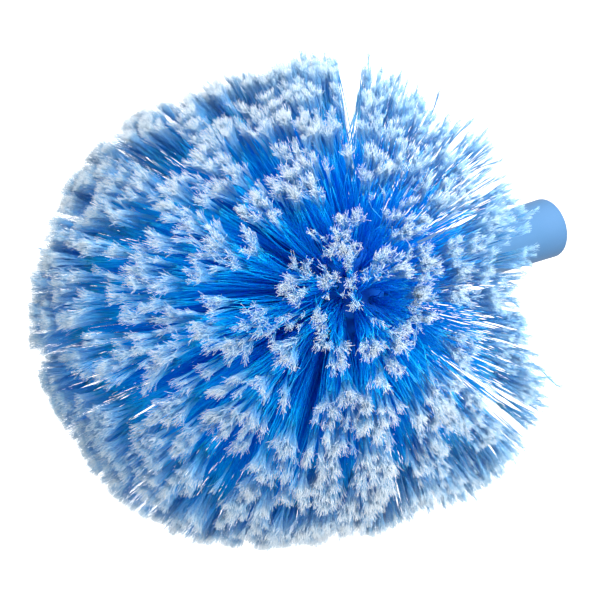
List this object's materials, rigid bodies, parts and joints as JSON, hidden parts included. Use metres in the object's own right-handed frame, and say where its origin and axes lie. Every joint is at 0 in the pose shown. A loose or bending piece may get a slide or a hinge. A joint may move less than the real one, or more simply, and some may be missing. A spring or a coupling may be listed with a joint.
{
  "type": "round dome brush head",
  "caption": "Round domed brush head: soft flagged bristle tufts set all over a ball-shaped block on a tubular socket that screws on a pole.",
  "frame": {"origin": "centre of the socket's mouth, on the flat rim that the pole's shoulder meets", "axes": "+Z along the socket to the dome of bristles; X and Y lie across the brush, which is the same all round"},
  "size_m": [0.233, 0.2344, 0.278],
  "materials": {
    "block_plastic": "smooth moulded plastic, satin",
    "socket_plastic": "smooth moulded plastic, satin",
    "bristle": "fine round filaments, saturated blue, with frosty pale blue split tips",
    "anchor_metal": "flat drawn wire"
  },
  "bodies": {
    "root": {"ball_block": "block_plastic", "pole_socket": "socket_plastic", "tuft_row_01": "bristle", "tuft_row_02": "bristle", "tuft_row_03": "bristle", "tuft_row_04": "bristle", "tuft_row_05": "bristle", "tuft_row_06": "bristle", "tuft_row_07": "bristle", "tuft_row_08": "bristle", "tuft_row_09": "bristle", "tuft_row_10": "bristle", "anchor_row_01": "anchor_metal", "anchor_row_02": "anchor_metal", "anchor_row_03": "anchor_metal", "anchor_row_04": "anchor_metal", "anchor_row_05": "anchor_metal", "anchor_row_06": "anchor_metal", "anchor_row_07": "anchor_metal", "anchor_row_08": "anchor_metal", "anchor_row_09": "anchor_metal", "anchor_row_10": "anchor_metal"}
  },
  "joints": []
}
